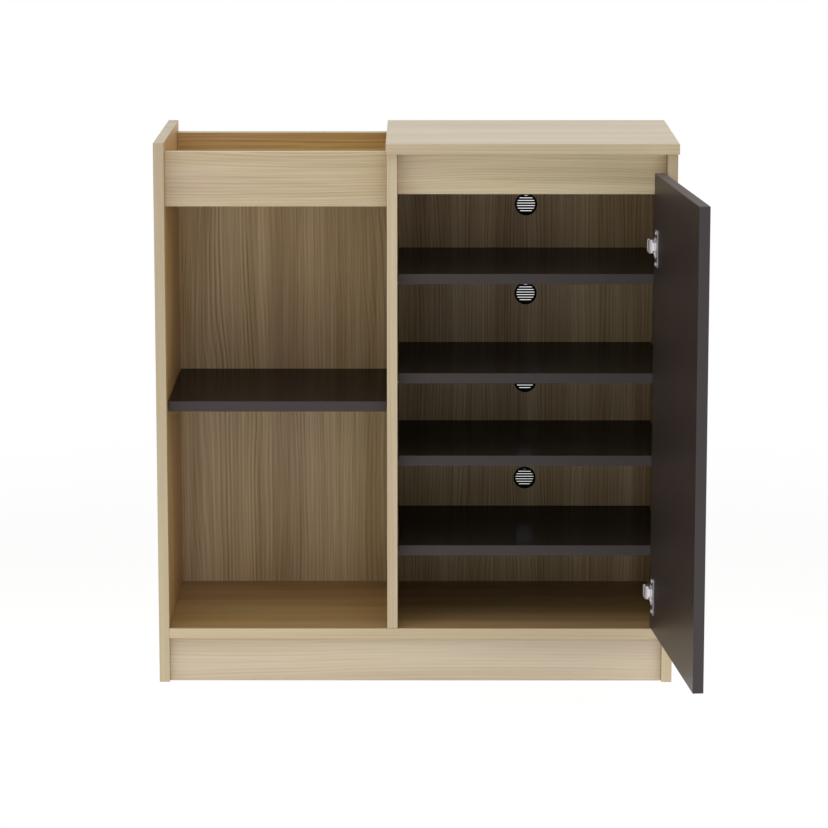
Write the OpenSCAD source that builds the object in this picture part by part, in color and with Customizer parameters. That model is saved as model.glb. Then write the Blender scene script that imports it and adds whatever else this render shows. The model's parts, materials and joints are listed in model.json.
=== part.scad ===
// Shoe cabinet with an open bay, a key tray and a shelved bay behind an inset door.
// X runs right, Y runs back, Z runs up. The origin is on the floor, under the middle
// of the whole cabinet as it stands with its door open.

/* [Cabinet] */
// Outer width across the two side panels
cabinet_w = 800; // [760:1:900]
// Height to the top of the top panel
cabinet_h = 845; // [840:1:900]
// Depth of the side panels
cabinet_d = 350; // [330:1:400]
// Thickness of every board
board_t = 16; // [15:0.5:18]
// Clear width of the open bay
left_bay_w = 340; // [300:1:360]
// Height of the kick board under the bottom panel
kick_h = 70; // [50:1:80]
// How far the kick board stands back
kick_setback = 10; // [0:1:30]
// How far the top panel stands out in front
top_overhang = 14; // [0:1:20]
// How far the top panel stands out at each end
top_end_overhang = 1.5; // [0:0.5:4]
// Bevel along the board edges
edge_ease = 0.6; // [0.2:0.1:1.2]

/* [Shelves] */
// Height of the open bay's shelf above the floor
open_shelf_z = 441.4; // [300:0.1:600]
// Heights of the four shoe shelves above the floor
shoe_shelf_z = [640.6, 485.6, 355.9, 213.4]; // [100:0.1:700]
// How far the shelves, the tray front and the rail stand back from the front
shelf_setback = 24; // [20:1:40]
// Play between a shelf's end and the panel
shelf_play = 1; // [0.5:0.5:2]
// Height of the tray front
tray_front_h = 84; // [60:1:100]
// Height of the rail over the door
door_rail_h = 65; // [50:1:80]

/* [Back] */
// Thickness of the back panel
back_t = 3; // [2.5:0.5:5]
// Distance from the rear edges to the back panel
back_inset = 20; // [10:1:25]
// Depth of the grooves that hold the back panel
groove_d = 6; // [4:1:8]

/* [Vents] */
// Distance of the vents from the left face of the cabinet
vent_x = 578; // [540:1:620]
// Heights of the four vents
vent_z = [711, 565.5, 420.5, 260.2]; // [100:0.1:780]
// Diameter of a vent's rim
vent_rim_d = 36; // [34:1:44]
// Clear diameter inside a vent
vent_open_d = 29.5; // [26:0.5:32]
// Height from one louvre to the next
louvre_pitch = 4.2; // [3.5:0.1:6]
// Downward slope of the louvres towards the back
louvre_tilt = 2; // [0:1:30]

/* [Door] */
// Angle at which the door stands open
door_open = 95.24; // [0:0.01:105]
// Height of the door
door_h = 710; // [690:1:712]
// Gap under the door
door_gap_bottom = 3; // [2:0.5:4]
// Gap at each side of the closed door
door_gap = 2; // [1.5:0.1:3]

/* [Hinges] */
// Heights of the two hinges
hinge_z = [687, 144.5]; // [100:0.5:780]
// Diameter of the hinge cup
cup_d = 35; // [34:0.5:36]
// Depth of the cup's bore in the door
cup_depth = 11.6; // [11:0.1:12.5]
// Distance from the door's edge to the cup
cup_edge = 3; // [3:0.5:5]
// Thickness of the pressed steel
steel_t = 1.5; // [1:0.1:1.8]
// Diameter of the hinge pins
pin_d = 2.4; // [2:0.1:3]

/* [Hidden] */

$fn = 64;
oak = "#c3b08b";
oak_pale = "#cbb898";
charcoal = "#3b3532";
nickel = "#c9c6c8";
birch = "#d9c49a";
black_plastic = "#1d1b1a";
hardboard = "#6b5337";

// Carcass planes, counted from the left outer face, the front edges and the floor
panel_h = cabinet_h - board_t;
left_in = board_t;
divider_l = board_t + left_bay_w;
divider_r = divider_l + board_t;
right_in = cabinet_w - board_t;
floor_top = kick_h + board_t;
back_y = cabinet_d - back_inset - back_t;
tray_z = panel_h - tray_front_h;
door_rail_z = panel_h - door_rail_h;
bridge = 0.01;

// The closed door, and the upright axis that the hinges turn it about
door_w = right_in - divider_r - 2 * door_gap;
door_right = right_in - door_gap;
door_z = floor_top + door_gap_bottom;
axis_from_edge = 1.44;
door_axis = [door_right - axis_from_edge, 0];

function turned(p, a) = [p.x * cos(a) - p.y * sin(a), p.x * sin(a) + p.y * cos(a)];
function on_open_door(p) = door_axis + turned(p - door_axis, door_open);

// Middle of the space that the cabinet takes up with its door open
door_outer_tip = on_open_door([door_right - door_w, 0]);
door_inner_tip = on_open_door([door_right - door_w, board_t]);
origin_x = max(cabinet_w + top_end_overhang, door_outer_tip.x) / 2;
origin_y = (min(door_inner_tip.y, -top_overhang) + cabinet_d) / 2;

module in_cabinet() translate([-origin_x, -origin_y, 0]) children();

module on_door()
    in_cabinet()
        translate([door_axis.x, door_axis.y, 0]) rotate(door_open)
            translate([-door_axis.x, -door_axis.y, 0]) children();

// A board with a fine bevel on its edges, from its low corner to its high one
module bevelled_outline(w, h)
    polygon([
        [edge_ease, 0], [w - edge_ease, 0], [w, edge_ease], [w, h - edge_ease],
        [w - edge_ease, h], [edge_ease, h], [0, h - edge_ease], [0, edge_ease]
    ]);

module board(low, high) {
    size = high - low;
    translate(low)
        intersection() {
            linear_extrude(size.z) bevelled_outline(size.x, size.y);
            translate([0, size.y, 0]) rotate([90, 0, 0])
                linear_extrude(size.y) bevelled_outline(size.x, size.z);
            rotate([90, 0, 90]) linear_extrude(size.x) bevelled_outline(size.y, size.z);
        }
}

// ---- Knock-down fittings ----
// A fitting joins the end of one board to the face of another. It is written as
// [point on the meeting plane, direction into the board's end, side that shows the cam].
RIGHT = [1, 0, 0];
LEFT = [-1, 0, 0];
REAR = [0, 1, 0];
UP = [0, 0, 1];
DOWN = [0, 0, -1];

cam_d = 15;
cam_h = 12.4;
cam_reach = 34;
cam_slot_w = 2.4;
cam_slot_d = 3;
bolt_d = 7;
bolt_thread_d = 5;
bolt_thread_l = 11;
bolt_neck_d = 3.4;
bolt_head_d = 5.6;
bolt_head_l = 3;
bolt_pocket_d = 6.4;
dowel_d = 8;
dowel_l = 30;
dowel_step = 24;

front_fit_y = 60;
rear_fit_y = 270;
tray_fit_y = 84;
bottom_mid_z = kick_h + board_t / 2;
tray_mid_z = tray_z + board_t / 2;
tray_front_mid_z = tray_z + tray_front_h / 2;
door_rail_mid_z = door_rail_z + door_rail_h / 2;
front_board_mid_y = shelf_setback + board_t / 2;
tray_back_y = back_y - board_t;
tray_back_mid_y = tray_back_y + board_t / 2;
kick_mid_y = kick_setback + board_t / 2;
divider_mid_x = divider_l + board_t / 2;
right_mid_x = right_in + board_t / 2;

bottom_fits = [
    for (y = [front_fit_y, rear_fit_y]) each [
        [[left_in, y, bottom_mid_z], RIGHT, DOWN],
        [[right_in, y, bottom_mid_z], LEFT, DOWN]
    ]
];
tray_floor_fits = [
    for (y = [tray_fit_y, rear_fit_y]) each [
        [[left_in, y, tray_mid_z], RIGHT, DOWN],
        [[divider_l, y, tray_mid_z], LEFT, DOWN]
    ]
];
tray_front_fits = [
    [[left_in, front_board_mid_y, tray_front_mid_z], RIGHT, REAR],
    [[divider_l, front_board_mid_y, tray_front_mid_z], LEFT, REAR]
];
tray_back_fits = [
    [[left_in, tray_back_mid_y, tray_front_mid_z], RIGHT, REAR],
    [[divider_l, tray_back_mid_y, tray_front_mid_z], LEFT, REAR]
];
top_rail_fits = [
    [[divider_r, front_board_mid_y, door_rail_mid_z], RIGHT, REAR],
    [[right_in, front_board_mid_y, door_rail_mid_z], LEFT, REAR]
];
kick_fits = [
    [[left_in, kick_mid_y, kick_h / 2], RIGHT, REAR],
    [[right_in, kick_mid_y, kick_h / 2], LEFT, REAR]
];
divider_foot_fits = [
    for (y = [front_fit_y, rear_fit_y]) [[divider_mid_x, y, floor_top], UP, RIGHT]
];
divider_top_fits = [[[divider_mid_x, rear_fit_y, panel_h], DOWN, RIGHT]];
side_top_fits = [[[right_mid_x, rear_fit_y, panel_h], DOWN, LEFT]];

all_fits = concat(
    bottom_fits, tray_floor_fits, tray_front_fits, tray_back_fits, top_rail_fits, kick_fits,
    divider_foot_fits, divider_top_fits, side_top_fits
);

// Local Z runs into the board's end and local X points out of the cam's face
module at_fit(fit) {
    inward = fit[1];
    shown = fit[2];
    along = cross(inward, shown);
    multmatrix([
        [shown.x, along.x, inward.x, fit[0].x],
        [shown.y, along.y, inward.y, fit[0].y],
        [shown.z, along.z, inward.z, fit[0].z]
    ]) children();
}

module cam_cylinder(d, depth)
    translate([board_t / 2 - depth, 0, cam_reach]) rotate([0, 90, 0]) cylinder(d = d, h = depth);

module fit_bores(fits)
    for (fit = fits) at_fit(fit) {
        cam_cylinder(cam_d, cam_h);
        cylinder(d = bolt_d, h = cam_reach);
        translate([0, 0, -bolt_thread_l]) cylinder(d = bolt_thread_d, h = bolt_thread_l);
        translate([0, dowel_step, -bolt_thread_l]) cylinder(d = dowel_d, h = dowel_l);
    }

module cam_locks()
    color(nickel) in_cabinet() for (fit = all_fits) at_fit(fit)
        difference() {
            cam_cylinder(cam_d, cam_h);
            translate([0, 0, cam_reach - cam_d / 2 - bridge])
                cylinder(d = bolt_pocket_d, h = cam_d / 2 - cam_slot_w);
            for (turn = [0, 90])
                translate([board_t / 2 - cam_slot_d / 2, 0, cam_reach]) rotate([turn, 0, 0])
                    cube([cam_slot_d + bridge, cam_d * 0.6, cam_slot_w], center = true);
        }

module cam_bolts()
    color(nickel) in_cabinet() for (fit = all_fits) at_fit(fit) {
        neck_z = cam_reach - cam_d / 2 - bolt_head_l;
        translate([0, 0, -bolt_thread_l]) cylinder(d = bolt_thread_d, h = bolt_thread_l);
        cylinder(d = bolt_d - 1, h = neck_z);
        translate([0, 0, neck_z]) cylinder(d = bolt_neck_d, h = bolt_head_l + 1);
        translate([0, 0, neck_z + bolt_head_l + 1]) cylinder(d = bolt_head_d, h = bolt_head_l);
    }

module dowels()
    color(birch) in_cabinet() for (fit = all_fits) at_fit(fit)
        translate([0, dowel_step, -bolt_thread_l]) cylinder(d = dowel_d, h = dowel_l);

// ---- Shelf pins ----
pin_hole_d = 5;
pin_hole_l = 8;
pin_collar_d = 7.4;
pin_collar_t = 0.8;
pin_reach = 9;
pin_ys = [60, 280];

// [left face, right face, shelf height] of every shelf
shelf_spans = concat(
    [[left_in, divider_l, open_shelf_z]],
    [for (z = shoe_shelf_z) [divider_r, right_in, z]]
);

module at_shelf_pins()
    for (span = shelf_spans, y = pin_ys, side = [0, 1])
        translate([span[side], y, span[2] - board_t - pin_hole_d / 2])
            rotate([0, side == 0 ? 90 : -90, 0]) children();

module shelf_pin_holes()
    at_shelf_pins() translate([0, 0, -pin_hole_l]) cylinder(d = pin_hole_d, h = pin_hole_l);

module shelf_pins()
    color(nickel) in_cabinet() at_shelf_pins() {
        translate([0, 0, -pin_hole_l]) cylinder(d = pin_hole_d, h = pin_hole_l + pin_reach);
        cylinder(d = pin_collar_d, h = pin_collar_t);
    }

// ---- Carcass ----
module back_groove()
    translate([left_in - groove_d, back_y, -bridge])
        cube([right_in - left_in + 2 * groove_d, back_t, cabinet_h + 2 * bridge]);

module left_side_panel()
    color(oak) in_cabinet() difference() {
        board([0, 0, 0], [left_in, cabinet_d, cabinet_h]);
        back_groove();
        fit_bores(concat(bottom_fits, tray_floor_fits, tray_front_fits, tray_back_fits, kick_fits));
        shelf_pin_holes();
    }

module right_side_panel()
    color(oak) in_cabinet() difference() {
        board([right_in, 0, 0], [cabinet_w, cabinet_d, panel_h]);
        back_groove();
        fit_bores(concat(bottom_fits, top_rail_fits, kick_fits, side_top_fits));
        shelf_pin_holes();
        for (z = hinge_z) plate_screw_places(z) plate_screw_shank();
    }

module divider_panel()
    color(oak) in_cabinet() difference() {
        board([divider_l, 0, floor_top], [divider_r, back_y, panel_h]);
        fit_bores(concat(
            tray_floor_fits, tray_front_fits, tray_back_fits, top_rail_fits,
            divider_foot_fits, divider_top_fits
        ));
        shelf_pin_holes();
    }

module top_panel()
    color(oak) in_cabinet() difference() {
        board(
            [divider_l - top_end_overhang, -top_overhang, panel_h],
            [cabinet_w + top_end_overhang, cabinet_d, cabinet_h]
        );
        fit_bores(concat(divider_top_fits, side_top_fits));
    }

module bottom_panel()
    color(oak) in_cabinet() difference() {
        board([left_in, 0, kick_h], [right_in, back_y, floor_top]);
        fit_bores(concat(bottom_fits, divider_foot_fits));
    }

module kick_board()
    color(oak) in_cabinet() difference() {
        board([left_in, kick_setback, 0], [right_in, kick_setback + board_t, kick_h]);
        fit_bores(kick_fits);
    }

module tray_front()
    color(oak) in_cabinet() difference() {
        board([left_in, shelf_setback, tray_z], [divider_l, shelf_setback + board_t, panel_h]);
        fit_bores(tray_front_fits);
    }

module tray_floor()
    color(oak) in_cabinet() difference() {
        board([left_in, shelf_setback + board_t, tray_z], [divider_l, tray_back_y, tray_z + board_t]);
        fit_bores(tray_floor_fits);
    }

module tray_back()
    color(oak) in_cabinet() difference() {
        board([left_in, tray_back_y, tray_z], [divider_l, back_y, panel_h]);
        fit_bores(tray_back_fits);
    }

module top_rail()
    color(oak_pale) in_cabinet() difference() {
        board([divider_r, shelf_setback, door_rail_z], [right_in, shelf_setback + board_t, panel_h]);
        fit_bores(top_rail_fits);
    }

// ---- Back panel and its vents ----
back_play = 0.5;
back_lap = 8;
vent_body_d = vent_open_d + 2.4;
vent_rim_t = 1.6;
vent_body_l = 7;
vent_lip_d = vent_body_d + 1;
vent_lip_l = 0.8;
louvre_t = 2.2;
louvre_l = 3;
louvre_count = 2 * floor(vent_open_d / 2 / louvre_pitch) + 1;

module back_panel()
    color(hardboard) in_cabinet() difference() {
        translate([left_in - groove_d + back_play, back_y, kick_h - back_lap])
            cube([right_in - left_in + 2 * (groove_d - back_play), back_t, panel_h - kick_h + back_lap]);
        for (z = vent_z) translate([vent_x, back_y - bridge, z]) rotate([-90, 0, 0])
            cylinder(d = vent_body_d, h = back_t + 2 * bridge);
    }

module louvres()
    intersection() {
        rotate([-90, 0, 0]) cylinder(d = vent_open_d + bridge, h = vent_body_l);
        for (i = [0 : louvre_count - 1])
            translate([0, louvre_l / 2, (i - (louvre_count - 1) / 2) * louvre_pitch])
                rotate([-louvre_tilt, 0, 0])
                    cube([vent_open_d, louvre_l, louvre_t], center = true);
    }

module vent(z)
    color(black_plastic) in_cabinet() translate([vent_x, back_y, z]) {
        difference() {
            rotate([-90, 0, 0]) union() {
                translate([0, 0, -vent_rim_t]) cylinder(d = vent_rim_d, h = vent_rim_t);
                cylinder(d = vent_body_d, h = vent_body_l);
                translate([0, 0, back_t]) cylinder(d = vent_lip_d, h = vent_lip_l);
            }
            translate([0, -vent_rim_t - bridge, 0]) rotate([-90, 0, 0])
                cylinder(d = vent_open_d, h = vent_rim_t + vent_body_l + 2 * bridge);
        }
        louvres();
    }

module vent_1() vent(vent_z[0]);
module vent_2() vent(vent_z[1]);
module vent_3() vent(vent_z[2]);
module vent_4() vent(vent_z[3]);

// ---- Shelves ----
module shelf(span)
    color(charcoal) in_cabinet()
        board(
            [span[0] + shelf_play, shelf_setback, span[2] - board_t],
            [span[1] - shelf_play, back_y - shelf_play, span[2]]
        );

module open_shelf() shelf(shelf_spans[0]);
module shoe_shelf_1() shelf(shelf_spans[1]);
module shoe_shelf_2() shelf(shelf_spans[2]);
module shoe_shelf_3() shelf(shelf_spans[3]);
module shoe_shelf_4() shelf(shelf_spans[4]);

// ---- Door ----
cup_bore_extra = 0.4;
cup_x = door_right - cup_edge - cup_d / 2;

module door_panel()
    color(charcoal) on_door() difference() {
        board([door_right - door_w, 0, door_z], [door_right, board_t, door_z + door_h]);
        for (z = hinge_z) at_cup(z) {
            translate([0, 0, -cup_depth - cup_bore_extra])
                cylinder(d = cup_d, h = cup_depth + cup_bore_extra + bridge);
            cup_screw_places() cup_screw_shank();
        }
    }

// ---- Concealed hinges ----
// The cup is pressed into the door. Its pin carries a gooseneck link that reaches
// round the door's corner to the arm, and the arm is clamped on a plate on the side.
flange_t = 1.2;
flange_w = 24;
flange_h = 59;
flange_corner_r = 5;
cup_rim_d = 37;
cup_wall = 0.9;
cup_screw_z = 24;
cup_screw_shift = -6;
cup_screw_d = 3.2;
cup_screw_l = 11;
cup_screw_head_d = 6.6;
cup_screw_head_h = 1.6;
pin_fit = 0.05;

// Places of the two pins: in the cup with the door closed, and in the arm's tip
cup_pin_from_edge = 8;
cup_pin_depth = 2;
cup_pin_closed = [door_right - cup_pin_from_edge, board_t - cup_pin_depth];
arm_pin_at = [right_in - 26, 11.5];

link_w = 13;
link_wide_w = 20.5;
link_t = 1.8;
link_rise = 5.6;
link_wide_from = 4;
link_wide_to = 13;
eye_r = 2.3;
lug_t = 1.6;
lug_gap = link_w + 1.2;

arm_w = 20;
arm_high = 12;
arm_low = 4.5;
arm_tip_r = 3;
arm_back_y = 80;
arm_knee_y = 40;
web_from_y = 15;
web_from_x = arm_pin_at.x - arm_tip_r;
web_lip_w = 5.2;

plate_t = 2.5;
plate_screw_y = 53;
plate_screw_gap = 32;
plate_wing_w = 14;
ridge_from_y = 44;
ridge_to_y = 78;
ridge_w = arm_w - 2 * steel_t - 0.6;
euro_screw_d = 5.8;
euro_screw_l = 13;
euro_head_d = 8.4;
euro_head_h = 1.6;
clamp_screw_y = 70;
adjust_screw_y = 52;
arm_screw_d = 4.4;
arm_screw_head_d = 7.6;
arm_screw_head_h = 2;

// Local Z points out of the door's inner face at the middle of a cup
module at_cup(z)
    translate([cup_x, board_t, z]) rotate([-90, 0, 0]) children();

module flange_outline() {
    far_x = -cup_rim_d / 2;
    circle(d = cup_rim_d);
    for (x = [far_x, far_x + flange_w - 2 * flange_corner_r], z = [-1, 1])
        translate([x + flange_corner_r, z * (flange_h / 2 - flange_corner_r)])
            circle(r = flange_corner_r);
    translate([far_x + flange_corner_r, -flange_h / 2])
        square([flange_w - 2 * flange_corner_r, flange_h]);
    translate([far_x, flange_corner_r - flange_h / 2])
        square([flange_w, flange_h - 2 * flange_corner_r]);
}

module cup_screw_places()
    for (side = [-1, 1]) translate([cup_screw_shift, side * cup_screw_z, 0]) children();

module cup_screw_shank()
    translate([0, 0, -cup_screw_l]) cylinder(d = cup_screw_d, h = cup_screw_l + bridge);

module cup_lugs() {
    pin_x = cup_pin_closed.x - cup_x;
    reach = cup_d / 2 - cup_wall - 1.2;
    for (side = [-1, 1]) difference() {
        translate([pin_x - eye_r, side * (lug_gap + lug_t) / 2 - lug_t / 2, -cup_pin_depth - eye_r])
            cube([reach - pin_x + eye_r, lug_t, cup_pin_depth + eye_r]);
        translate([pin_x, side * (lug_gap + lug_t) / 2, -cup_pin_depth]) rotate([90, 0, 0])
            cylinder(d = pin_d, h = 2 * lug_t, center = true);
    }
}

module hinge_cup(z)
    color(nickel) on_door() at_cup(z) {
        difference() {
            union() {
                translate([0, 0, -cup_depth]) cylinder(d = cup_d, h = cup_depth);
                linear_extrude(flange_t) flange_outline();
            }
            translate([0, 0, cup_wall - cup_depth])
                cylinder(d = cup_d - 2 * cup_wall, h = cup_depth + flange_t);
            cup_screw_places() translate([0, 0, -bridge])
                cylinder(d = cup_screw_d, h = flange_t + 2 * bridge);
        }
        intersection() {
            cup_lugs();
            translate([0, 0, -cup_depth]) cylinder(d = cup_d - cup_wall, h = cup_depth);
        }
    }

module cup_screws(z)
    color(nickel) on_door() at_cup(z) cup_screw_places() {
        translate([0, 0, flange_t]) cylinder(d = cup_screw_head_d, h = cup_screw_head_h);
        translate([0, 0, -cup_screw_l]) cylinder(d = cup_screw_d, h = cup_screw_l + flange_t);
    }

module cup_pin(z)
    color(nickel) on_door() translate([cup_pin_closed.x, cup_pin_closed.y, z])
        cylinder(d = pin_d, h = lug_gap + 2 * lug_t, center = true);

// The link lies along local X, from the cup pin to the arm pin
link_from = on_open_door(cup_pin_closed);
link_run = arm_pin_at - link_from;
link_l = norm(link_run);
link_turn = atan2(link_run.y, link_run.x);

module link_strip() {
    r = (link_l * link_l / 4 + link_rise * link_rise) / (2 * link_rise);
    intersection() {
        translate([link_l / 2, link_rise - r]) difference() {
            circle(r = r + link_t / 2);
            circle(r = r - link_t / 2);
        }
        square([link_l, link_rise + link_t]);
    }
}

module link_outline()
    difference() {
        union() {
            link_strip();
            for (x = [0, link_l]) translate([x, 0]) circle(r = eye_r);
        }
        for (x = [0, link_l]) translate([x, 0]) circle(d = pin_d + 2 * pin_fit);
    }

module hinge_link(z)
    color(nickel) in_cabinet() translate([link_from.x, link_from.y, z]) rotate(link_turn) {
        linear_extrude(link_w, center = true) link_outline();
        linear_extrude(link_wide_w, center = true) intersection() {
            link_strip();
            translate([link_wide_from, 0])
                square([link_wide_to - link_wide_from, link_rise + link_t]);
        }
    }

module arm_pin(z)
    color(nickel) in_cabinet() translate([arm_pin_at.x, arm_pin_at.y, z])
        cylinder(d = pin_d + 2 * pin_fit, h = link_w, center = true);

module arm_cheek_outline() {
    translate(arm_pin_at) circle(r = arm_tip_r);
    polygon([
        [arm_pin_at.x - arm_tip_r, arm_pin_at.y], [web_from_x, web_from_y],
        [right_in - arm_high, arm_knee_y], [right_in - arm_high, arm_back_y],
        [right_in - arm_low, arm_back_y], [right_in - arm_low, arm_knee_y + 4],
        [arm_pin_at.x + arm_tip_r + 1, web_from_y + 4], [arm_pin_at.x + arm_tip_r, arm_pin_at.y]
    ]);
}

module arm_web_outline()
    polygon([
        [web_from_x, web_from_y], [right_in - arm_high, arm_knee_y],
        [right_in - arm_high, arm_back_y], [right_in - arm_high + steel_t, arm_back_y],
        [right_in - arm_high + steel_t, arm_knee_y - 1],
        [web_from_x + 2 * steel_t, web_from_y + steel_t],
        [web_from_x + web_lip_w, web_from_y + steel_t], [web_from_x + web_lip_w, web_from_y]
    ]);

module arm_screw_places()
    for (y = [adjust_screw_y, clamp_screw_y])
        translate([right_in - arm_high, y, 0]) rotate([0, 90, 0]) children();

module arm_screw_shank()
    cylinder(d = arm_screw_d, h = arm_high - plate_t);

module hinge_arm(z)
    color(nickel) in_cabinet() translate([0, 0, z]) difference() {
        union() {
            for (side = [-1, 1])
                translate([0, 0, side * (arm_w - steel_t) / 2])
                    linear_extrude(steel_t, center = true) arm_cheek_outline();
            linear_extrude(arm_w, center = true) arm_web_outline();
        }
        arm_screw_places() translate([0, 0, -bridge]) arm_screw_shank();
    }

module plate_screw_places(z)
    for (side = [-1, 1])
        translate([right_in, plate_screw_y, z + side * plate_screw_gap / 2])
            rotate([0, 90, 0]) children();

module plate_screw_shank()
    translate([0, 0, -plate_t]) cylinder(d = euro_screw_d, h = euro_screw_l);

module hinge_plate(z)
    color(nickel) in_cabinet() difference() {
        union() {
            translate([right_in - plate_t, 0, z]) rotate([90, 0, 90]) linear_extrude(plate_t) {
                translate([plate_screw_y, 0])
                    square([plate_wing_w, plate_screw_gap], center = true);
                for (side = [-1, 1])
                    translate([plate_screw_y, side * plate_screw_gap / 2])
                        circle(d = plate_wing_w);
                translate([ridge_from_y - steel_t, -arm_w / 2])
                    square([ridge_to_y - ridge_from_y + 2 * steel_t, arm_w]);
            }
            translate([right_in - arm_high + steel_t, ridge_from_y, z - ridge_w / 2])
                cube([arm_high - steel_t - plate_t + bridge, ridge_to_y - ridge_from_y, ridge_w]);
        }
        plate_screw_places(z) plate_screw_shank();
        translate([0, 0, z]) arm_screw_places() arm_screw_shank();
    }

module plate_screws(z)
    color(nickel) in_cabinet() plate_screw_places(z) {
        plate_screw_shank();
        translate([0, 0, -plate_t - euro_head_h]) cylinder(d = euro_head_d, h = euro_head_h);
    }

module arm_screws(z)
    color(nickel) in_cabinet() translate([0, 0, z]) arm_screw_places() {
        arm_screw_shank();
        translate([0, 0, -arm_screw_head_h])
            cylinder(d = arm_screw_head_d, h = arm_screw_head_h);
    }

module upper_hinge_cup() hinge_cup(hinge_z[0]);
module upper_cup_screws() cup_screws(hinge_z[0]);
module upper_cup_pin() cup_pin(hinge_z[0]);
module upper_hinge_link() hinge_link(hinge_z[0]);
module upper_arm_pin() arm_pin(hinge_z[0]);
module upper_hinge_arm() hinge_arm(hinge_z[0]);
module upper_hinge_plate() hinge_plate(hinge_z[0]);
module upper_plate_screws() plate_screws(hinge_z[0]);
module upper_arm_screws() arm_screws(hinge_z[0]);
module lower_hinge_cup() hinge_cup(hinge_z[1]);
module lower_cup_screws() cup_screws(hinge_z[1]);
module lower_cup_pin() cup_pin(hinge_z[1]);
module lower_hinge_link() hinge_link(hinge_z[1]);
module lower_arm_pin() arm_pin(hinge_z[1]);
module lower_hinge_arm() hinge_arm(hinge_z[1]);
module lower_hinge_plate() hinge_plate(hinge_z[1]);
module lower_plate_screws() plate_screws(hinge_z[1]);
module lower_arm_screws() arm_screws(hinge_z[1]);

left_side_panel();
right_side_panel();
divider_panel();
top_panel();
bottom_panel();
kick_board();
tray_front();
tray_floor();
tray_back();
top_rail();
back_panel();
open_shelf();
shoe_shelf_1();
shoe_shelf_2();
shoe_shelf_3();
shoe_shelf_4();
shelf_pins();
vent_1();
vent_2();
vent_3();
vent_4();
door_panel();
upper_hinge_cup();
upper_cup_screws();
upper_cup_pin();
upper_hinge_link();
upper_arm_pin();
upper_hinge_arm();
upper_hinge_plate();
upper_plate_screws();
upper_arm_screws();
lower_hinge_cup();
lower_cup_screws();
lower_cup_pin();
lower_hinge_link();
lower_arm_pin();
lower_hinge_arm();
lower_hinge_plate();
lower_plate_screws();
lower_arm_screws();
cam_locks();
cam_bolts();
dowels();
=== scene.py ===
# %% [markdown]
# # A shoe cabinet, dressed for the studio
# The cabinet is a flat-pack piece: boards of chipboard faced with melamine paper, a thin
# back panel, four plastic air vents and two sprung cup hinges. Its exact solids come
# ready made, in metres, with X to the right, Y to the rear and Z up. This lesson lights
# them, gives every board its own cut of grain, and remakes the small pressed and
# moulded parts with softened edges and screw recesses.

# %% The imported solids
import json
import math

import bpy
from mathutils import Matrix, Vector


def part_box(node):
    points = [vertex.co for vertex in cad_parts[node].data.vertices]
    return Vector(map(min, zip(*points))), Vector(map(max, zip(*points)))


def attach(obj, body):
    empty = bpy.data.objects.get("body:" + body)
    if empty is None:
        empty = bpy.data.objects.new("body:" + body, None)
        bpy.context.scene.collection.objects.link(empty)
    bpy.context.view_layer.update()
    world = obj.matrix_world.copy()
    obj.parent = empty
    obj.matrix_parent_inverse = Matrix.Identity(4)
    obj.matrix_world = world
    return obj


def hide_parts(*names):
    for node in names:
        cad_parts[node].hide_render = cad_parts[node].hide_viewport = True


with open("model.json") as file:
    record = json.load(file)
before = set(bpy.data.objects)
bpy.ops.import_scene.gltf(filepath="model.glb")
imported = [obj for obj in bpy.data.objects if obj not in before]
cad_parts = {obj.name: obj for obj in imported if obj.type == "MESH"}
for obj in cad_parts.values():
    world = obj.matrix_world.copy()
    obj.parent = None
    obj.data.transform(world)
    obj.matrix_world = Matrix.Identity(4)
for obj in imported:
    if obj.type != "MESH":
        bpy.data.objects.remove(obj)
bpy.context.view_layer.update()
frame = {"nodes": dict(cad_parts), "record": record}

# %% [markdown]
# ## The camera
# Furniture is shown from well back and a little above, so that its uprights stay nearly
# parallel and the tops of the shelves still show. A long lens a good five metres away
# does that. It looks down by its own tilt, with no lens shift, so that every other view
# frames the cabinet as well.

# %% Camera
lens_mm = 156.48
film_width_mm = 36
far_limit = 200  # m, well past the edge of the floor
camera_place = (0.00051, -5.43037, 1.43089)
tilt_down = math.radians(10.43)
turn_left = math.radians(0.1235)

camera_data = bpy.data.cameras.new("front_camera")
camera_data.lens = lens_mm
camera_data.sensor_width = film_width_mm
camera_data.clip_end = far_limit
camera = bpy.data.objects.new("front_camera", camera_data)
camera.location = camera_place
camera.rotation_euler = (math.pi / 2 - tilt_down, 0, turn_left)
bpy.context.scene.collection.objects.link(camera)
bpy.context.scene.camera = camera
print("camera", lens_mm, "mm lens,", round(-camera_place[1], 2), "m in front")

# %% [markdown]
# ## Colours and nodes
# Paint shops give colours as sRGB hex values, while light adds up in linear values, so
# one function turns the one into the other. A second small function adds a node, sets
# it and links it, which keeps each material short enough to read.

# %% Helpers for materials
def linear(hex_colour):
    """An sRGB hex colour as linear red, green, blue and a full alpha."""
    channels = [int(hex_colour[i : i + 2], 16) / 255 for i in (1, 3, 5)]
    return [c / 12.92 if c <= 0.04045 else ((c + 0.055) / 1.055) ** 2.4 for c in channels] + [1.0]


def add(tree, kind, inputs=None, **settings):
    """Add a node with its settings, and link or set its inputs."""
    node = tree.nodes.new(kind)
    for name, value in settings.items():
        setattr(node, name, value)
    for socket, value in (inputs or {}).items():
        if isinstance(value, bpy.types.NodeSocket):
            tree.links.new(value, node.inputs[socket])
        else:
            node.inputs[socket].default_value = value
    return node


def new_material(name):
    """An empty material with its node tree."""
    material = bpy.data.materials.new(name)
    material.use_nodes = True
    tree = material.node_tree
    tree.nodes.clear()
    return material, tree


print("a mid grey of #808080 gives back", round(linear("#808080")[0], 3), "of the light")

# %% [markdown]
# ## Masks, layers and mottle
# A finish is built as a painter would: a ground colour, then coats laid over it, each
# where its mask is 1. Nothing printed or pressed is quite even, so most masks come from
# a noise. It can be stretched along one direction, which turns blots into streaks.

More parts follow.
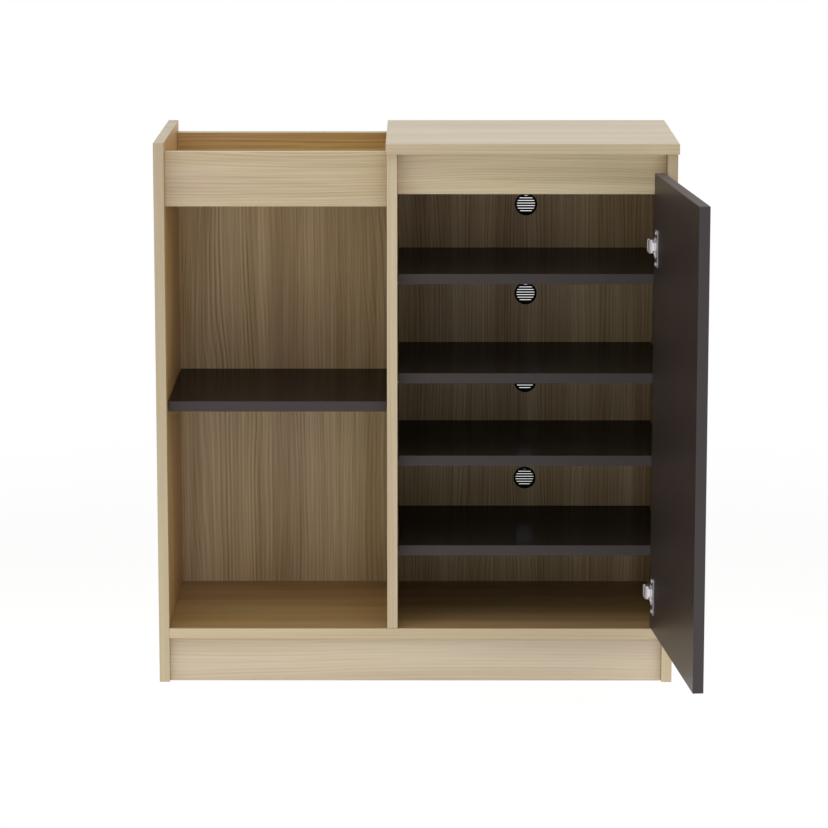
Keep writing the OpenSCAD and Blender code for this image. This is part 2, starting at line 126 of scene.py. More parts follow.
# %% Helpers for finishes
def any_of(tree, masks):
    """1 where any of the masks is 1."""
    found = masks[0]
    for mask in masks[1:]:
        found = add(tree, "ShaderNodeMath", {0: found, 1: mask}, operation="MAXIMUM").outputs[0]
    return found


def painted(tree, ground, *coats):
    """Lay colours over a ground colour, each as thickly as its share says."""
    for share, colour in coats:
        layers = {0: share, 6: ground, 7: colour}
        ground = add(tree, "ShaderNodeMix", layers, data_type="RGBA").outputs[2]
    return ground


def mottle(tree, place, scale, detail=2.0, roughness=0.5):
    """Blots or streaks, with a separate number of them per metre along each axis."""
    stretched = add(tree, "ShaderNodeMapping", {"Vector": place, "Scale": scale}).outputs[0]
    settings = {"Vector": stretched, "Scale": 1.0, "Detail": detail, "Roughness": roughness}
    return add(tree, "ShaderNodeTexNoise", settings).outputs[0]


print("helpers for masks, coats and mottle made")

# %% [markdown]
# ## The studio
# There are no lamps. The cabinet stands in a soft white room whose glow depends only on
# the angle from straight in front: dim straight ahead, so that the bays stay deep, and
# brighter to the sides and above. To the camera, and in reflections, the room is plain
# white. The kind of ray tells the two apart, so the backdrop adds no light.

# %% Room light
# how bright the room is at each angle from straight in front, as cosines
room_levels = ((-1.0, 0.75), (-0.1, 0.80), (0.25, 1.25), (0.60, 1.25), (0.85, 0.52), (1.0, 0.42))
# a curve ends at 1, so it holds the levels as shares of this
curve_top = 2.0
pure_white = (1, 1, 1, 1)


def seen_rays(tree):
    """1 for what the camera sees, plainly, in gloss or through glass, and 0 for other light."""
    path = add(tree, "ShaderNodeLightPath").outputs
    return any_of(tree, [path["Is Camera Ray"], path["Is Glossy Ray"], path["Is Transmission Ray"]])


world = bpy.data.worlds.new("white_room")
bpy.context.scene.world = world
world.use_nodes = True
tree = world.node_tree
tree.nodes.clear()
heading = add(tree, "ShaderNodeTexCoord").outputs["Generated"]
facing = {0: heading, 1: (0, -1, 0)}
ahead = add(tree, "ShaderNodeVectorMath", facing, operation="DOT_PRODUCT").outputs["Value"]
# the cosine runs from -1 to 1, and the curve from 0 to 1
along_curve = add(tree, "ShaderNodeMath", {0: ahead, 1: 0.5, 2: 0.5}, operation="MULTIPLY_ADD")
level = add(tree, "ShaderNodeFloatCurve", {"Value": along_curve.outputs[0]})
curve = level.mapping.curves[0]
for spot, (cosine, value) in enumerate(room_levels):
    at = ((cosine + 1) / 2, value / curve_top)
    if spot in (0, len(room_levels) - 1):
        curve.points[0 if spot == 0 else -1].location = at
    else:
        curve.points.new(*at)
level.mapping.update()
strength = add(tree, "ShaderNodeMath", {0: level.outputs[0], 1: curve_top}, operation="MULTIPLY")
glow = add(tree, "ShaderNodeBackground", {"Color": pure_white, "Strength": strength.outputs[0]})
backdrop = add(tree, "ShaderNodeBackground", {"Color": pure_white, "Strength": 1.0})
blend = add(tree, "ShaderNodeMixShader", {0: seen_rays(tree), 1: glow.outputs[0], 2: backdrop.outputs[0]})
add(tree, "ShaderNodeOutputWorld", {"Surface": blend.outputs[0]})
print("room lit from", min(v for _, v in room_levels), "ahead to", max(v for _, v in room_levels))

# %% [markdown]
# ## The floor
# A studio floor is a wide sheet in pale matt paint. It glows a little close in front,
# which lifts the kick board and the lower half as a low reflector would. To the camera
# it fades to plain white with distance, but keeps the cabinet's soft shadow near it.

# %% Floor
floor_half = 15
# a hair under the cabinet, so that the two faces don't fight
floor_drop = 0.0004
# the low glow is full this close to a spot in front of the cabinet, and gone further out
glow_centre = (0.0, -0.45, 0.0)
glow_full, glow_gone, glow_level = 0.4, 1.9, 0.52
# the share of plain white that the camera sees, near the cabinet and far from it
fade_near, fade_far, fade_first = 0.5, 2.5, 0.78

bpy.ops.object.select_all(action="DESELECT")
bpy.ops.mesh.primitive_plane_add(size=2 * floor_half, location=(0, 0, -floor_drop))
floor = bpy.context.object
floor.name = "studio_floor"
material, tree = new_material("pale_floor_paint")
place = add(tree, "ShaderNodeTexCoord").outputs["Object"]
paint = add(tree, "ShaderNodeBsdfDiffuse", {"Color": linear("#f4f3f1")})
from_front = add(tree, "ShaderNodeVectorMath", {0: place, 1: glow_centre}, operation="DISTANCE")
reach = add(tree, "ShaderNodeMapRange", {
    "Value": from_front.outputs["Value"], "From Min": glow_full, "From Max": glow_gone,
    "To Min": glow_level, "To Max": 0.0,
}, interpolation_type="SMOOTHSTEP")
low_glow = add(tree, "ShaderNodeEmission", {"Color": pure_white, "Strength": reach.outputs[0]})
lit = add(tree, "ShaderNodeAddShader", {0: paint.outputs[0], 1: low_glow.outputs[0]})
away = add(tree, "ShaderNodeVectorMath", {0: place}, operation="LENGTH")
lift = add(tree, "ShaderNodeMapRange", {
    "Value": away.outputs["Value"], "From Min": fade_near, "From Max": fade_far,
    "To Min": fade_first, "To Max": 1.0,
}, interpolation_type="SMOOTHSTEP")
lift = add(tree, "ShaderNodeMath", {0: seen_rays(tree), 1: lift.outputs[0]}, operation="MULTIPLY")
plain = add(tree, "ShaderNodeEmission", {"Color": pure_white, "Strength": 1.0})
mixed = add(tree, "ShaderNodeMixShader", {0: lift.outputs[0], 1: lit.outputs[0], 2: plain.outputs[0]})
add(tree, "ShaderNodeOutputMaterial", {"Surface": mixed.outputs[0]})
floor.data.materials.append(material)
print("floor laid,", 2 * floor_half, "m wide")

# %% [markdown]
# ## Faces, bands and raw edges
# A board is only printed on its two faces. A strip 0.6 mm thick, in a slightly
# different tone, is glued on the edges that show, and the edges that nobody sees stay
# raw chipboard. Both are found by position: a point belongs to a side of its board when
# it lies within the strip's thickness of that side.

# %% Masks for the sides of a board
strip_t = 0.0006


def side_mask(tree, place, box, sides):
    """1 within strip_t of the named sides of a box, such as ("y-", "z+")."""
    low, high = box
    axes = add(tree, "ShaderNodeSeparateXYZ", {0: place}).outputs
    near = []
    for side in sides:
        axis = "xyz".index(side[0])
        if side[1] == "-":
            limit, test = low[axis] + strip_t, "LESS_THAN"
        else:
            limit, test = high[axis] - strip_t, "GREATER_THAN"
        near.append(add(tree, "ShaderNodeMath", {0: axes[axis], 1: limit}, operation=test).outputs[0])
    return any_of(tree, near)


print("edge strips:", 1000 * strip_t, "mm")

# %% Raw chipboard
# chips per metre, about 2.4 mm each, and the finer dark gaps between them
chips_per_metre = 420.0
gap_scale = (700, 700, 700)


def chipboard(tree, place):
    """Pressed wood chips: pale and brown cells with dark gaps."""
    cells = {"Vector": place, "Scale": chips_per_metre, "Randomness": 1.0}
    chips = add(tree, "ShaderNodeTexVoronoi", cells).outputs
    tint = add(tree, "ShaderNodeSeparateColor", {0: chips["Color"]}).outputs[0]
    gaps = mottle(tree, place, gap_scale, detail=3.0)
    gaps = add(tree, "ShaderNodeMapRange", {"Value": gaps, "From Min": 0.55, "From Max": 0.72}).outputs[0]
    return painted(tree, linear("#8f6f47"), (tint, linear("#cdb084")), (gaps, linear("#4f3a22")))


print("raw chipboard: chips of", round(1000 / chips_per_metre, 1), "mm")

# %% [markdown]
# ## Oak-grain melamine
# The pale boards are chipboard under a printed paper that is soaked in melamine resin
# and pressed hot. The print shows growth lines about six millimetres apart that drift
# and swell, with streaks and fine fibres between them. The lines are contours: a slow
# noise, stretched along the grain, is added to the distance across the board, and each
# whole number of the sum starts a new line, pale at first and darkening to its end.

# %% Growth lines
# scales are patterns per metre: along the grain, across it, and through the board
line_rate = (0.0, 158.0, 166.0)  # one line in about 6 mm
drift_scale = (1.1, 7.0, 7.0)  # drifts 900 mm long and 140 mm wide
ripple_scale = (5.0, 22.0, 22.0)  # faint ripples 200 mm long and 45 mm wide
ripple_share = 0.12
# place within a line, and how dark it is there
line_tones = ((0.0, 0.55), (0.2, 0.10), (0.62, 0.30), (0.88, 1.0), (1.0, 0.60))


def growth_lines(tree, board, sway):
    """The number of lines crossed so far, when they drift by sway lines."""
    across = {0: board, 1: line_rate}
    count = add(tree, "ShaderNodeVectorMath", across, operation="DOT_PRODUCT").outputs["Value"]
    for scale, share in ((drift_scale, 1.0), (ripple_scale, ripple_share)):
        bend = {0: mottle(tree, board, scale, detail=1.0), 1: share * sway, 2: count}
        count = add(tree, "ShaderNodeMath", bend, operation="MULTIPLY_ADD").outputs[0]
    return count


def shaded_lines(tree, count):
    """Each line pale at first and darkest near its end."""
    within = add(tree, "ShaderNodeMath", {0: count}, operation="FRACT").outputs[0]
    shade = add(tree, "ShaderNodeValToRGB", {0: within})
    shade.color_ramp.interpolation = "B_SPLINE"
    stops = shade.color_ramp.elements
    for spot, level in line_tones:
        stop = stops.new(spot) if spot not in (0.0, 1.0) else stops[0 if spot == 0.0 else -1]
        stop.position = spot
        stop.color = (level, level, level, 1)
    return shade.outputs[0]


print("growth lines", round(1000 / line_rate[1], 1), "mm apart")

# %% [markdown]
# ## Colours of the print
# The paper comes in a few prints, from a cool pale one to warm ones inside the bays and the tray, whose
# warmth is partly painted bounce light and shade.
# All patterns are added up to one darkness between the pale and the dark wood colour,
# and each is taken off at its own mean, so that more contrast doesn't darken a board.
# Slow rosy and olive patches come last, as such prints have them.

# %% The oak print
turns = {"X": (0, 0, 0), "Z": (0, math.pi / 2, 0)}
# pale wood and dark wood of each decor, and how strong its rosy and olive patches are
decors_and_bounce_tints = {
    "front": ("#d9caab", "#b7a180", 0.35),
    "cool": ("#dacdb3", "#b8a689", 0.20),
    # these two are warmer than the outside prints: part print, part painted bounce light and shade of the
    # cabinet's insides
    "inner": ("#d0b078", "#a37e49", 0.25),
    "tray": ("#ceae6e", "#9a7c44", 0.35),
    "back": ("#ebd6ac", "#a68657", 0.24),
    "beech": ("#e0c391", "#c8a670", 0.0),
}
fine_rate = 2.3  # fine lines for each growth line
streak_scale = (3.0, 260.0, 260.0)  # streaks 4 mm wide
band_scale = (1.2, 22.0, 22.0)  # bands 45 mm wide
fibre_scale = (11.0, 620.0, 620.0)  # fibres 1.6 mm wide
patch_scale = (1.3, 8.0, 8.0)  # patches 770 mm long and 125 mm wide
# where a patch starts and is full, and how it turns the colour
patch_turns = (
    (0.50, 0.66, {"Hue": 0.462, "Saturation": 0.72}),
    (0.48, 0.32, {"Hue": 0.525, "Value": 0.96}),
)


def oak_print(tree, place, grain, cut, decor, contrast, sway):
    """The printed colour of a board, and its fibres for the relief."""
    sheet = {"Vector": place, "Rotation": turns[grain], "Location": cut}
    board = add(tree, "ShaderNodeMapping", sheet).outputs[0]
    count = growth_lines(tree, board, sway)
    finer = add(tree, "ShaderNodeMath", {0: count, 1: fine_rate}, operation="MULTIPLY").outputs[0]
    fine = {"W": finer, "Scale": 1.0, "Detail": 1.0}
    fibre = mottle(tree, board, fibre_scale, detail=3.0, roughness=0.6)
    # each pattern, its weight and its mean
    parts = (
        (shaded_lines(tree, count), 0.26, 0.45),
        (add(tree, "ShaderNodeTexNoise", fine, noise_dimensions="1D").outputs[0], 0.62, 0.5),
        (mottle(tree, board, streak_scale), 0.60, 0.5),
        (mottle(tree, board, band_scale), 1.25, 0.5),
        (fibre, 0.55, 0.5),
    )
    dark = 0.5 - contrast * sum(weight * mean for _, weight, mean in parts)
    for pattern, weight, _ in parts:
        darker = {0: pattern, 1: weight * contrast, 2: dark}
        dark = add(tree, "ShaderNodeMath", darker, operation="MULTIPLY_ADD").outputs[0]
    pale_wood, dark_wood, patches = decors_and_bounce_tints[decor]
    colour = painted(tree, linear(pale_wood), (dark, linear(dark_wood)))
    patch = mottle(tree, board, patch_scale, detail=1.0)
    for start, full, turn in patch_turns:
        spread = {"Value": patch, "From Min": start, "From Max": full, "To Max": patches}
        share = add(tree, "ShaderNodeMapRange", spread).outputs[0]
        turned = add(tree, "ShaderNodeHueSaturation", {"Color": colour, **turn}).outputs[0]
        colour = painted(tree, colour, (share, turned))
    return colour, fibre


print("decors:", ", ".join(decors_and_bounce_tints))

# %% [markdown]
# ## The melamine coat
# Pressed resin has a satin sheen that follows the fibres, with a relief far thinner than
# a hair. Raw edges have no resin, so they are much duller. The strips are cut from
# another sheet of the same paper, so their grain never runs on from the face.

# %% Coat and strips
raw_dulling = 0.4
fibre_relief = 0.00005
strip_contrast, strip_sway, strip_shift = 0.7, 4.0, 3.3
# the outer faces of the side panels take the strips' cooler paper too
outer_faces = {"left_side_panel": ("x-",), "right_side_panel": ("x+",)}


def finish_board(tree, place, colour, fibre, box, raw, smooth, rough):
    """Give a printed colour its satin coat, with raw chipboard on the hidden edges."""
    sheen = add(tree, "ShaderNodeMapRange", {"Value": fibre, "To Min": smooth, "To Max": rough}).outputs[0]
    if raw:
        bare = side_mask(tree, place, box, raw)
        colour = painted(tree, colour, (bare, chipboard(tree, place)))
        duller = {0: bare, 1: raw_dulling, 2: sheen}
        sheen = add(tree, "ShaderNodeMath", duller, operation="MULTIPLY_ADD", use_clamp=True).outputs[0]
    relief = add(tree, "ShaderNodeBump", {"Height": fibre, "Strength": 0.25, "Distance": fibre_relief})
    coat = add(tree, "ShaderNodeBsdfPrincipled", {
        "Base Color": colour, "Roughness": sheen, "Normal": relief.outputs[0], "IOR": 1.5,
        "Specular IOR Level": 0.4,
    })
    add(tree, "ShaderNodeOutputMaterial", {"Surface": coat.outputs[0]})


def oak_melamine(node, grain, cut, decor, contrast, sway, tones, bands, raw):
    """The whole finish of one board: print, strips, raw edges and coat."""
    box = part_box(node)
    material, tree = new_material("oak_melamine_" + node)
    place = add(tree, "ShaderNodeTexCoord").outputs["Object"]
    face_tone, strip_tone = tones
    colour, fibre = oak_print(tree, place, grain, cut, decor, contrast, sway)
    colour = add(tree, "ShaderNodeHueSaturation", {"Color": colour, "Value": face_tone}).outputs[0]
    if bands:
        banded = side_mask(tree, place, box, bands + outer_faces.get(node, ()))
        other = (cut[1], cut[0], cut[2] + strip_shift)
        strip, _ = oak_print(tree, place, grain, other, "front", strip_contrast, strip_sway)
        strip = add(tree, "ShaderNodeHueSaturation", {"Color": strip, "Value": strip_tone}).outputs[0]
        colour = painted(tree, colour, (banded, strip))
    finish_board(tree, place, colour, fibre, box, raw, smooth=0.40, rough=0.52)
    return material


print("strips are printed from another place,", strip_shift, "m away")

# %% [markdown]
# ## Cutting the print for each board
# In the factory each board is sawn from a different place of a large printed sheet. Here
# each gets its own place on the print, with the grain along its length, so that no two
# boards show the same lines.

# %% Oak boards
# grain, place on the sheet, decor, contrast, sway of the lines, tones of face and strip,
# sides with a strip, raw sides
oak_cuts = {
    "left_side_panel": ("Z", (0.31, 1.7, 0.4), "inner", 0.9, 6.0, (1.04, 0.875), ("y-", "z+"), ("y+", "z-")),
    "right_side_panel": ("Z", (2.13, 4.2, 0.9), "inner", 0.9, 6.0, (0.84, 0.97), ("y-",), ("y+", "z-", "z+")),
    "divider_panel": ("Z", (5.47, 2.9, 1.6), "inner", 0.9, 6.0, (0.95, 0.98), ("y-",), ("y+", "z+", "z-")),
    "top_panel": ("X", (1.21, 3.3, 2.2), "cool", 0.8, 6.0, (0.99, 0.97), ("y-", "x-", "x+"), ("y+",)),
    "bottom_panel": ("X", (4.05, 0.8, 3.1), "inner", 0.9, 6.0, (0.90, 1.0), ("y-",), ("y+",)),
    "kick_board": ("X", (7.31, 5.6, 3.9), "cool", 0.8, 9.0, (0.98, 1.0), (), ("z-", "z+")),
    "tray_front": ("X", (2.62, 6.7, 4.4), "front", 1.2, 10.0, (1.02, 1.0), ("z+", "z-"), ()),
    "tray_floor": ("X", (6.18, 7.4, 5.2), "inner", 0.9, 6.0, (1.0, 1.0), (), ("y+", "y-")),
    "tray_back": ("X", (8.13, 1.4, 6.1), "tray", 1.3, 9.0, (1.18, 1.0), ("z+",), ("z-",)),
    "top_rail": ("X", (9.37, 8.8, 5.8), "front", 1.2, 17.0, (1.07, 1.0), ("z-",), ("z+",)),
}


def wear(node, material):
    """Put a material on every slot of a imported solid."""
    for slot in frame["nodes"][node].material_slots:
        slot.material = material


for node, cut in oak_cuts.items():
    wear(node, oak_melamine(node, *cut))
print("oak boards:", len(oak_cuts))

# %% [markdown]
# ## The back panel
# The back is a thin hardboard: wood fibres felted under steam, printed on the side that
# faces the bays and left brown and woolly behind. One material does both, and changes
# over at half the panel's thickness.

# %% The back panel, printed in front and bare behind
felt_scale = (260, 260, 260)  # tufts of felted fibre about 4 mm across
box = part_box("back_panel")
material, tree = new_material("printed_hardboard")
place = add(tree, "ShaderNodeTexCoord").outputs["Object"]
colour, fibre = oak_print(tree, place, "Z", (3.4, 9.3, 6.6), "back", contrast=1.2, sway=15.0)
depth = add(tree, "ShaderNodeSeparateXYZ", {0: place}).outputs[1]
half_way = (box[0][1] + box[1][1]) / 2
behind = add(tree, "ShaderNodeMath", {0: depth, 1: half_way}, operation="GREATER_THAN").outputs[0]
felt = mottle(tree, place, felt_scale, detail=4.0, roughness=0.7)
felt = add(tree, "ShaderNodeMapRange", {"Value": felt, "From Min": 0.3, "From Max": 0.7}).outputs[0]
bare = painted(tree, linear("#6d5336"), (felt, linear("#8a6c49")))
colour = painted(tree, colour, (behind, bare))
finish_board(tree, place, colour, fibre, box, (), smooth=0.42, rough=0.55)
wear("back_panel", material)
print("back panel printed, changes over at", round(1000 * half_way, 1), "mm")

# %% [markdown]
# ## Charcoal melamine
# The shelves and the door have a near-black brown paper with a fine pearl in it. Their
# edges carry a cooler, lighter strip. The door stands open and turned, so its upright
# edges can't be found along X or Y: they are found along the door itself.

# %% Charcoal boards
# two tones of the paper, the strip, the smoothest roughness and the specular level
charcoals = {
    "door": ("#332b27", "#39312e", "#423d3e", 0.34, 0.2),
    "shelf": ("#241e1b", "#2b2522", "#4b4546", 0.16, 0.014),
}
pearl_scale = (1400, 1400, 1400)  # pearl grains of 0.7 mm, drawn coarser than real to show
cloud_scale = (6, 6, 6)  # slow clouds about 170 mm across
pearl_spread, pearl_relief = 0.06, 0.00004
# how much rougher the door's top edge is, under its painted sheen
top_edge_dulling = 0.4
hinge = next(j for j in frame["record"]["behaviour"]["joints"] if j["name"] == "door_hinge")
door_angle = math.radians(-hinge["range_deg"][0])
# across the open door, from its hinge edge to its free edge
along_door = Vector((-math.cos(door_angle), -math.sin(door_angle), 0))


def upright_edges(tree, place, node):
    """A mask for each of the door's two upright edges."""
    corners = [Vector(v.co).dot(along_door) for v in frame["nodes"][node].data.vertices]
    across = {0: place, 1: along_door}
    run = add(tree, "ShaderNodeVectorMath", across, operation="DOT_PRODUCT").outputs["Value"]
    edges = []
    for limit, test in ((min(corners) + strip_t, "LESS_THAN"), (max(corners) - strip_t, "GREATER_THAN")):
        edges.append(add(tree, "ShaderNodeMath", {0: run, 1: limit}, operation=test).outputs[0])
    return edges


def charcoal_melamine(node):
    """The whole finish of a charcoal board: paper, strips, pearl and coat."""
    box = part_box(node)
    material, tree = new_material("charcoal_melamine_" + node)
    place = add(tree, "ShaderNodeTexCoord").outputs["Object"]
    door = node == "door_panel"
    dim, bright, strip, smooth, specular = charcoals["door" if door else "shelf"]
    banded = side_mask(tree, place, box, ("z-",) if door else ("y-",))
    if door:
        banded = any_of(tree, [banded] + upright_edges(tree, place, node))
    pearl = mottle(tree, place, pearl_scale)
    face = painted(tree, linear(dim), (mottle(tree, place, cloud_scale), linear(bright)))
    colour = painted(tree, face, (banded, linear(strip)))
    spread = {"Value": pearl, "To Min": smooth, "To Max": smooth + pearl_spread}
    rough = add(tree, "ShaderNodeMapRange", spread).outputs[0]
    if door:
        # the door's top edge has no strip: a flat light grey is painted there as painted sheen, for the white
        # its grazing top face reflects, and its coat is made duller
        painted_sheen_top = side_mask(tree, place, box, ("z+",))
        colour = painted(tree, colour, (painted_sheen_top, linear("#665e5a")))
        duller = {0: painted_sheen_top, 1: top_edge_dulling, 2: rough}
        rough = add(tree, "ShaderNodeMath", duller, operation="MULTIPLY_ADD").outputs[0]
    relief = add(tree, "ShaderNodeBump", {"Height": pearl, "Strength": 0.2, "Distance": pearl_relief})
    coat = add(tree, "ShaderNodeBsdfPrincipled", {
        "Base Color": colour, "Roughness": rough, "Normal": relief.outputs[0], "IOR": 1.5,
        "Specular IOR Level": specular,
    })
    add(tree, "ShaderNodeOutputMaterial", {"Surface": coat.outputs[0]})
    return material


charcoal_boards = ("open_shelf", "shoe_shelf_1", "shoe_shelf_2", "shoe_shelf_3", "shoe_shelf_4", "door_panel")
for node in charcoal_boards:
    wear(node, charcoal_melamine(node))
print("charcoal boards:", len(charcoal_boards), "door open by", round(math.degrees(door_angle), 2), "degrees")

# %% [markdown]
# ## Plastic, metals and beech
# The fittings come from five processes, and each leaves its own skin: moulding, plating,
# tumbling before plating, cold heading and die casting. One recipe serves them all, a
# cloudy roughness over a very shallow relief, and only its numbers change.

# %% Plastic and metals
skin_relief = 0.00003


def satin(name, colour, smooth, rough, grain, strength=0.1, metallic=1.0, specular=0.5):
    """A skin whose roughness clouds between two values, with grain blots per metre."""
    material, tree = new_material(name)
    place = add(tree, "ShaderNodeTexCoord").outputs["Object"]
    cloud = mottle(tree, place, (grain, grain, grain), detail=3.0)
    sheen = add(tree, "ShaderNodeMapRange", {"Value": cloud, "To Min": smooth, "To Max": rough}).outputs[0]
    relief = add(tree, "ShaderNodeBump", {"Height": cloud, "Strength": strength, "Distance": skin_relief})
    skin = add(tree, "ShaderNodeBsdfPrincipled", {
        "Base Color": linear(colour), "Metallic": metallic, "Roughness": sheen,
        "Normal": relief.outputs[0], "Specular IOR Level": specular,
    })
    add(tree, "ShaderNodeOutputMaterial", {"Surface": skin.outputs[0]})
    return material


# injection-moulded ABS with a spark-eroded grain, matt enough to stay dark along the louvres
black_plastic = satin(
    "moulded_black_abs", "#141313", smooth=0.60, rough=0.75, grain=1600.0,
    strength=0.3, metallic=0.0, specular=0.12,
)
# steel pressed cold, then nickel plated: bright, with soft reflections
nickel = satin("nickel_plated_steel", "#d8d5da", smooth=0.22, rough=0.36, grain=500.0)
# links are tumbled before plating, which leaves them satin, so they catch light from all round; their colour
# is lighter than the plain nickel's, a painted highlight
satin_nickel_painted_highlight = satin("tumbled_nickel_painted_highlight", "#e2dfe2", smooth=0.52, rough=0.62, grain=500.0)
# cold-headed screws, zinc plated and passivated: bluish and a little dull
zinc = satin("zinc_plated_steel", "#c9cbd0", smooth=0.28, rough=0.42, grain=700.0)
# zinc cast in a steel die, left as cast: grey, with a faint pebble
cast = satin("die_cast_zinc", "#a9aaad", smooth=0.38, rough=0.55, grain=900.0, strength=0.3)
print("plastic and metals mixed")

# %% Beech
# beech rod, turned and fluted: close-grained, pale and dry
wooden, tree = new_material("turned_beech")
place = add(tree, "ShaderNodeTexCoord").outputs["Object"]
colour, fibre = oak_print(tree, place, "X", (0, 0, 0), "beech", contrast=0.6, sway=6.0)
finish_board(tree, place, colour, fibre, None, (), smooth=0.5, rough=0.65)
print("beech turned")

# %% [markdown]
# ## Small parts with softened edges
# Pressed steel and moulded plastic never have knife-sharp edges. Each small part is
# copied, its loose triangles are merged and joined into whole faces, and its edges are
# rounded by a fraction of a millimetre. Cutting and joining leave points that nearly
# meet, which a bevel would tear into slivers, so those are welded first.

# %% Softened copies of the small parts
loose_gap = 1e-6
sliver_gap = 1e-5
flat_angle = math.radians(0.5)
edge_angle = math.radians(35)
smooth_angle = math.radians(30)
bodies = {node: name for name, nodes in frame["record"]["behaviour"]["bodies"].items() for node in nodes}


def weld(distance):
    """Merge points of the active mesh that nearly meet, and drop faces with no width."""
    bpy.ops.object.mode_set(mode="EDIT")
    bpy.ops.mesh.select_all(action="SELECT")
    bpy.ops.mesh.remove_doubles(threshold=distance)
    bpy.ops.mesh.dissolve_degenerate(threshold=distance)
    bpy.ops.object.mode_set(mode="OBJECT")


def softened(node, material, rounding, cuts=(), how="DIFFERENCE"):
    """A merged copy of a node, cut or joined, with rounded edges, that takes its place."""
    body = bodies[node]
    bpy.ops.object.select_all(action="DESELECT")
    piece = bpy.data.objects.new(node + "_soft", frame["nodes"][node].data.copy())
    bpy.context.scene.collection.objects.link(piece)
    bpy.context.view_layer.objects.active = piece
    piece.select_set(True)
    bpy.ops.object.mode_set(mode="EDIT")
    bpy.ops.mesh.select_all(action="SELECT")
    bpy.ops.mesh.remove_doubles(threshold=loose_gap)
    bpy.ops.mesh.dissolve_limited(angle_limit=flat_angle)
    bpy.ops.object.mode_set(mode="OBJECT")
    for cutter in cuts:
        reshape = piece.modifiers.new("reshape", "BOOLEAN")
        reshape.operation = how
        reshape.solver = "EXACT"
        reshape.object = cutter
        bpy.ops.object.modifier_apply(modifier=reshape.name)
    if cuts:
        weld(sliver_gap)
    soften = piece.modifiers.new("soften", "BEVEL")
    soften.width = rounding
    soften.segments = 2
    soften.limit_method = "ANGLE"
    soften.angle_limit = edge_angle
    bpy.ops.object.modifier_apply(modifier=soften.name)
    if cuts and how == "DIFFERENCE":
        # round a recess the bevel leaves edges of no length; round joined strips it doesn't,
        # and a second weld there would open the mesh
        weld(loose_gap)
    bpy.ops.object.shade_smooth_by_angle(angle=smooth_angle)
    piece.data.materials.clear()
    piece.data.materials.append(material)
    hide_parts(node)
    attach(piece, body)
    return piece


print("bodies:", ", ".join(sorted(set(bodies.values()))))

# %% [markdown]
# ## Fuller louvre blades
# Seen from a little above, hardly a quarter of a real vent's opening lets light through,
# because its blades are stout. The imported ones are 2.2 mm thick and leave more open. A
# strip is joined under each blade, which narrows the gap below it. Its ends stop inside
# the vent's ring wall, so that nothing sticks out.

# %% Strips under the blades
blade_pitch = 0.0042
blade_count = 7
blade_half = 0.0011  # half a blade's own thickness
blade_drop = 0.0007  # how far a strip reaches below its blade
blade_run = 0.003  # how far back the blades go
run_play = 0.0002
rim_inset = 0.0028  # from the vent's rim inwards, to end inside its ring wall


def blade_skirts(node):
    """Seven thin strips that hang under the blades of a vent and make them fuller."""
    low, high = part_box(node)
    middle = [(a + b) / 2 for a, b in zip(low, high)]
    radius = (high[0] - low[0]) / 2 - rim_inset
    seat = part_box("back_panel")[0][1]
    strips = []
    for step in range(blade_count):
        rise = (step - (blade_count - 1) / 2) * blade_pitch - blade_half
        half = math.sqrt(radius**2 - (abs(rise) + blade_drop) ** 2)
        bpy.ops.object.select_all(action="DESELECT")
        bpy.ops.mesh.primitive_cube_add(size=1, location=(middle[0], seat + blade_run / 2, middle[2] + rise))
        strip = bpy.context.object
        strip.scale = (2 * half, blade_run - run_play, 2 * blade_drop)
        bpy.ops.object.transform_apply(location=True, rotation=True, scale=True)
        strips.append(strip)
    bpy.ops.object.select_all(action="DESELECT")
    for strip in strips:
        strip.select_set(True)
    bpy.context.view_layer.objects.active = strips[0]
    bpy.ops.object.join()
    return bpy.context.object


print("blades", 1000 * blade_pitch, "mm apart, fuller by", 1000 * blade_drop, "mm")

# %% [markdown]
# ## Cross recesses for the screw heads
# Hinge screws are driven with a cross-head bit, and the cross is what makes a bare disc
# read as a screw. Two wedges, wide at the top and narrow in the depth, are cut out of
# each head, which is how a punch forms the real one.

# %% Cross recesses
recess_half = 0.0021
recess_depth = 0.0014
recess_taper = 0.5  # the wedge's width at the bottom, as a share of its width at the top
wing_shape = (1.4, 0.32, 1.0)  # stretches a square wedge into one wing of the cross
recess_proud = 0.0001  # the wedge starts this far above the head, for a clean cut
same_height = 1e-5
same_head = 0.01
inner_normal = Vector((along_door.y, -along_door.x, 0))
to_the_left = Vector((-1, 0, 0))
head_ways = {"cup_screws": inner_normal, "plate_screws": to_the_left, "arm_screws": to_the_left}


def head_centres(node, out):
    """The middle of each head: the points that reach furthest out, grouped by nearness."""
    corners = [Vector(v.co) for v in frame["nodes"][node].data.vertices]
    reach = max(c.dot(out) for c in corners)
    heads = []
    for corner in (c for c in corners if c.dot(out) > reach - same_height):
        near = next((head for head in heads if (head[0] - corner).length < same_head), None)
        if near is None:
            heads.append([corner])
        else:
            near.append(corner)
    return [sum(head, Vector()) / len(head) for head in heads]


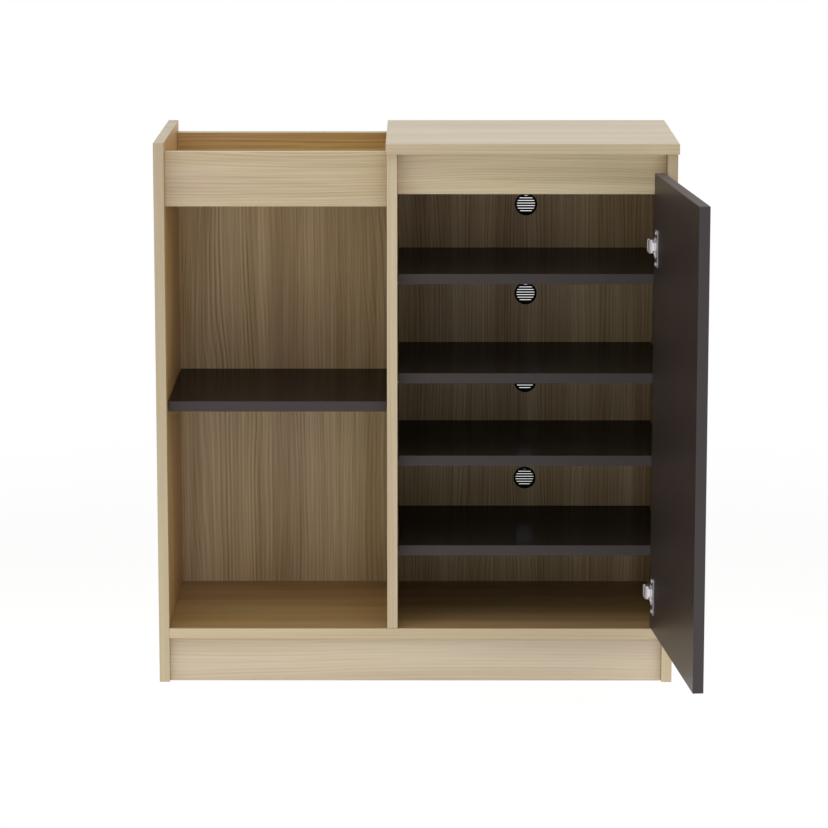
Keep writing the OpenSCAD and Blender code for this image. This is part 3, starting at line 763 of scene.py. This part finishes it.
def cross_cutters(node, out):
    """Two crossed wedges for each head, wide at the top and narrow in the depth."""
    wedges = []
    facing_out = out.to_track_quat("Z", "X").to_euler()
    for centre in head_centres(node, out):
        for quarter in (0, 1):
            bpy.ops.object.select_all(action="DESELECT")
            bpy.ops.mesh.primitive_cone_add(
                vertices=4, radius1=recess_taper * recess_half, radius2=recess_half, depth=recess_depth
            )
            wedge = bpy.context.object
            wedge.rotation_euler = (0, 0, math.pi / 4)
            bpy.ops.object.transform_apply(rotation=True)
            wedge.scale = wing_shape
            wedge.rotation_euler = (0, 0, quarter * math.pi / 2)
            bpy.ops.object.transform_apply(scale=True, rotation=True)
            wedge.rotation_euler = facing_out
            wedge.location = centre + out * (recess_proud - recess_depth / 2)
            bpy.ops.object.transform_apply(location=True, rotation=True)
            wedges.append(wedge)
    return wedges


print("recesses", 1000 * recess_depth, "mm deep")

# %% [markdown]
# ## Dressing the small parts
# Each kind of part gets its own material and rounding. The cam bolts, cam locks and
# dowels are hidden inside the boards, so they keep their solids and only change finish.

# %% Dress the small parts
vent_rounding, pressed_rounding, screw_rounding, pin_rounding = 0.0002, 0.00025, 0.00015, 0.0003
soft_parts = []
recesses = 0
for node in frame["nodes"]:
    if node.startswith("vent_"):
        skirts = blade_skirts(node)
        soft_parts.append(softened(node, black_plastic, vent_rounding, (skirts,), "UNION"))
        bpy.data.objects.remove(skirts)
    elif node.endswith("_link"):
        soft_parts.append(softened(node, satin_nickel_painted_highlight, pressed_rounding))
    elif "hinge_" in node or node.endswith("_pin"):
        soft_parts.append(softened(node, nickel, pressed_rounding))
    elif "screws" in node:
        cutters = cross_cutters(node, head_ways[node.split("_", 1)[1]])
        soft_parts.append(softened(node, zinc, screw_rounding, cutters))
        recesses += len(cutters) // 2
        for cutter in cutters:
            bpy.data.objects.remove(cutter)
    elif node == "shelf_pins":
        soft_parts.append(softened(node, zinc, pin_rounding))
faces = sum(len(piece.data.polygons) for piece in soft_parts)
print("small parts:", len(soft_parts), "recesses:", recesses, "faces:", faces)
wear("cam_bolts", zinc)
wear("cam_locks", cast)
wear("dowels", wooden)

# %% [markdown]
# ## The end
# The colours are shown as they are, through the standard view transform.

# %% The end
bpy.context.scene.view_settings.view_transform = "Standard"
